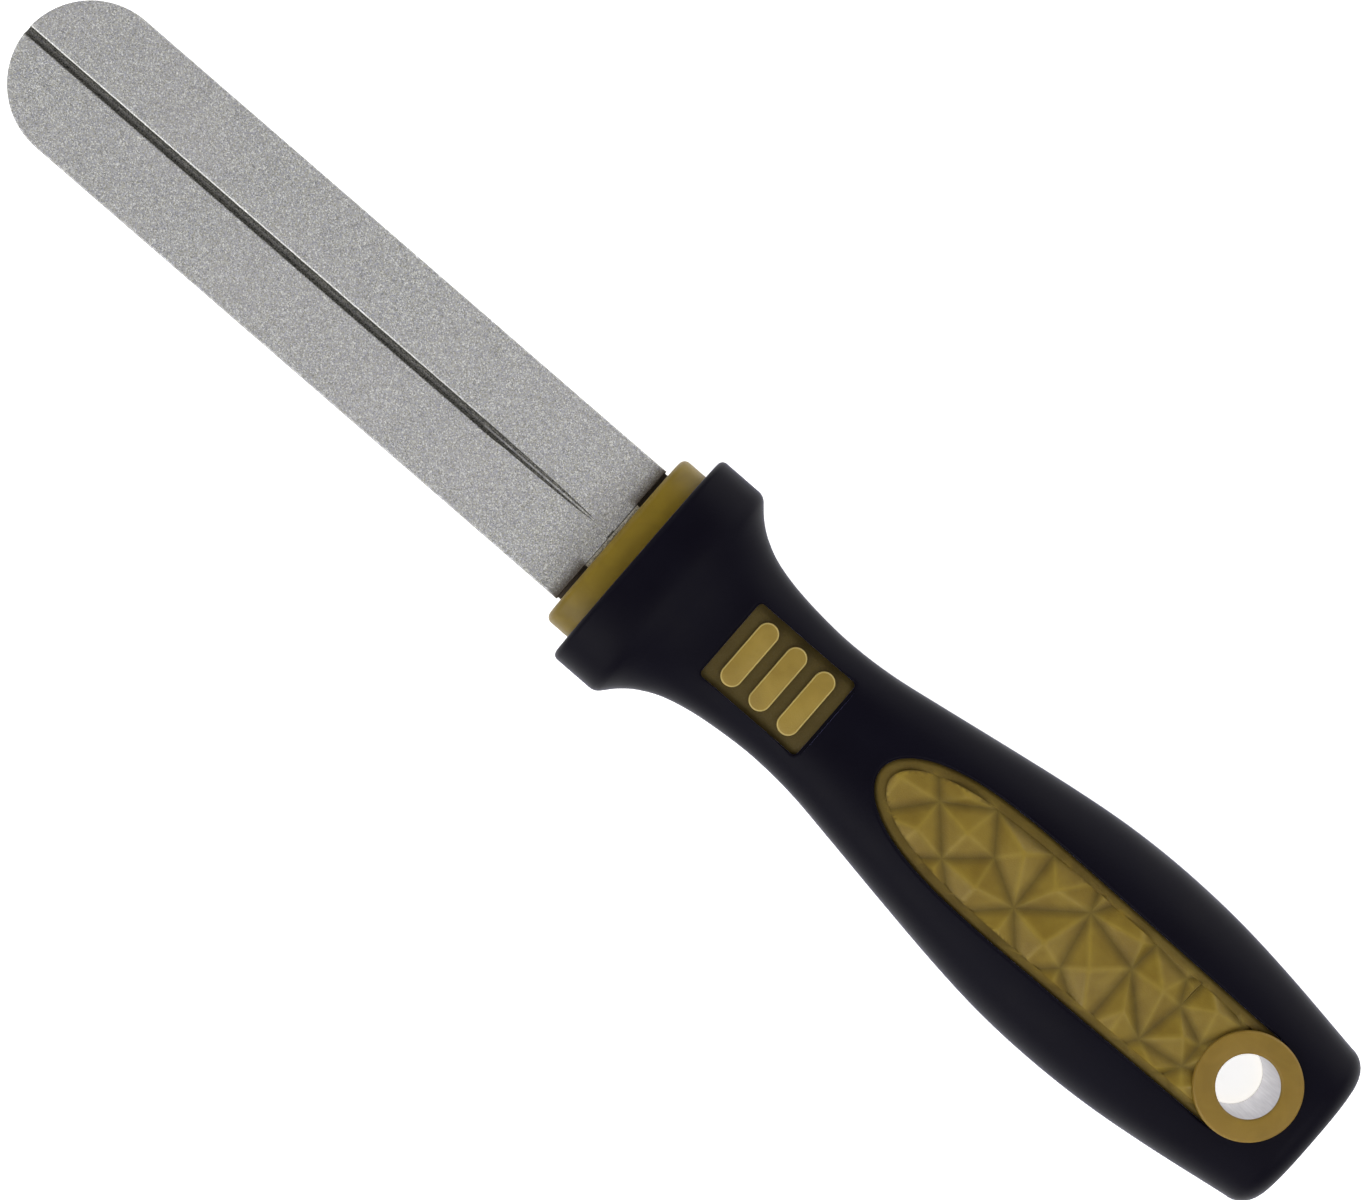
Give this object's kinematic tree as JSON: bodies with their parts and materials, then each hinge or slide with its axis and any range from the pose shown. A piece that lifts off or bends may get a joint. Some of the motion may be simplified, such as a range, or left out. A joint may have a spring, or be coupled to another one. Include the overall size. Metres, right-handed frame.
{
  "type": "flat diamond knife sharpener",
  "caption": "Flat round-tipped diamond sharpening plate with a hook groove, set in a soft-grip handle with pyramid-textured palm inlays and a hanging hole.",
  "frame": {"origin": "centre of the bounding box at its lowest face, where the rear of the guard and palm swell rest on a table", "axes": "+X along the tool to the plate's tip, +Y across the plate, +Z out of the front face, the one with the hook groove"},
  "size_m": [0.23, 0.0352, 0.023],
  "materials": {
    "plate_steel": "ground carbon steel",
    "diamond_grit": "fine diamond grit in electroplated nickel, sparkling matte",
    "epoxy": "cured clear epoxy, squeezed out in a bead",
    "olive_plastic": "moulded satin",
    "black_rubber": "soft-touch matte",
    "olive_rubber": "moulded satin",
    "liner_metal": "drawn and burnished"
  },
  "bodies": {
    "root": {"steel_plate": "plate_steel", "diamond_coating": "diamond_grit", "tang_adhesive": "epoxy", "handle_core": "olive_plastic", "grip_overmould": "black_rubber", "front_badge_inlay": "olive_rubber", "rear_badge_inlay": "olive_rubber", "front_palm_inlay": "olive_rubber", "rear_palm_inlay": "olive_rubber", "eyelet_bush": "olive_plastic", "eyelet_liner": "liner_metal"}
  },
  "joints": []
}
